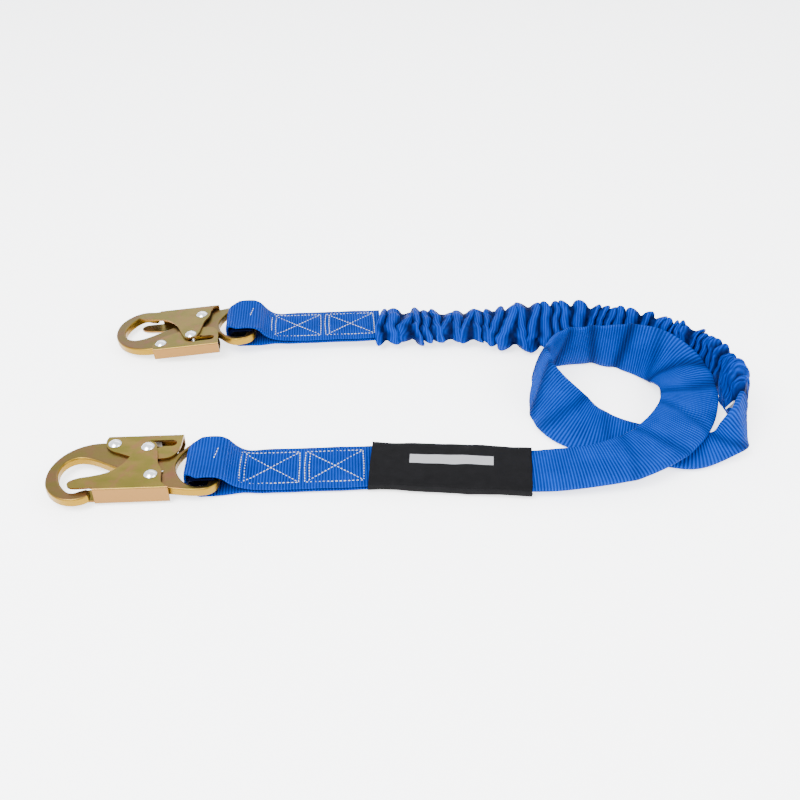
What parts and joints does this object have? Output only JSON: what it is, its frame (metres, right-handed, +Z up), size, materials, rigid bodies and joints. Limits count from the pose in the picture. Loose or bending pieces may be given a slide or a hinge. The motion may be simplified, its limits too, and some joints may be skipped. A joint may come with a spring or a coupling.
{
  "type": "shock absorbing lanyard",
  "caption": "Fall-arrest lanyard of blue webbing with an internal absorber, a gathered stretch, a label cover and a self-locking snap hook on each end.",
  "frame": {"origin": "floor level under the middle of the two hooks, sewn ends and label cover (the free webbing left out)", "axes": "+Z up from the floor, +X from the hooks toward the webbing's loop, +Y from the near hook to the far hook"},
  "size_m": [0.5314, 0.259, 0.0482],
  "materials": {
    "zinc_body": "yellow zinc plated forged steel",
    "zinc_gate": "yellow zinc plated pressed steel",
    "zinc_lever": "yellow zinc plated pressed steel",
    "rivet": "bright domed",
    "spring": "spring wire and leaf",
    "webbing": "ribbed polyester webbing",
    "jacket": "ribbed tubular polyester",
    "core": "woven core",
    "elastic": "covered elastic",
    "thread": "white polyester thread",
    "cover": "black woven cover",
    "page": "printed page",
    "tag": "white woven tag"
  },
  "bodies": {
    "webbing": {"near_eye_webbing": "webbing", "near_wear_pad": "webbing", "near_box_stitching": "thread", "far_eye_webbing": "webbing", "far_wear_pad": "webbing", "far_box_stitching": "thread", "tubular_jacket": "jacket", "absorber_core": "core", "gathered_jacket": "jacket", "elastic_core": "elastic", "label_cover": "cover", "label_page": "page", "inspection_tag": "tag"},
    "near_hook": {"near_hook_body": "zinc_body", "near_gate_pivot_rivet": "rivet", "near_lever_pivot_rivet": "rivet"},
    "near_gate_body": {"near_gate": "zinc_gate", "near_lock_pin": "rivet", "near_gate_spring": "spring"},
    "near_lever_body": {"near_lock_lever": "zinc_lever", "near_lever_spring": "spring"},
    "far_hook": {"far_hook_body": "zinc_body", "far_gate_pivot_rivet": "rivet", "far_lever_pivot_rivet": "rivet"},
    "far_gate_body": {"far_gate": "zinc_gate", "far_lock_pin": "rivet", "far_gate_spring": "spring"},
    "far_lever_body": {"far_lock_lever": "zinc_lever", "far_lever_spring": "spring"}
  },
  "joints": [
    {"name": "near_hook_swing", "type": "hinge", "parent": "webbing", "child": "near_hook", "pos_m": [-0.0564, -0.08884, 0.0095], "axis": [-0.0523, 0.9986, 0], "range_deg": [-60, 60]},
    {"name": "near_gate_swing", "type": "hinge", "parent": "near_hook", "child": "near_gate_body", "pos_m": [-0.10082, -0.10489, 0.0095], "axis": [0, 0, -1], "range_deg": [0, 22], "stiffness_Nm_per_rad": 0.06, "springref_deg": -28.65},
    {"name": "near_lever_squeeze", "type": "hinge", "parent": "near_hook", "child": "near_lever_body", "pos_m": [-0.13518, -0.06834, 0.0095], "axis": [0, 0, -1], "range_deg": [0, 9], "stiffness_Nm_per_rad": 0.05, "springref_deg": -22.92},
    {"name": "far_hook_swing", "type": "hinge", "parent": "webbing", "child": "far_hook", "pos_m": [-0.0529, 0.09816, 0.0171], "axis": [0.0698, -0.9976, 0], "range_deg": [-60, 60]},
    {"name": "far_gate_swing", "type": "hinge", "parent": "far_hook", "child": "far_gate_body", "pos_m": [-0.09877, 0.10869, 0.01316], "axis": [-0.0869, -0.0061, 0.9962], "range_deg": [0, 22], "stiffness_Nm_per_rad": 0.06, "springref_deg": -28.65},
    {"name": "far_lever_squeeze", "type": "hinge", "parent": "far_hook", "child": "far_lever_body", "pos_m": [-0.1283, 0.06823, 0.01034], "axis": [-0.0869, -0.0061, 0.9962], "range_deg": [0, 9], "stiffness_Nm_per_rad": 0.05, "springref_deg": -22.92}
  ],
  "couplings": [
    {"joint": "near_lever_squeeze", "follows": "near_gate_swing", "ratio": 0.409},
    {"joint": "far_lever_squeeze", "follows": "far_gate_swing", "ratio": 0.409}
  ]
}
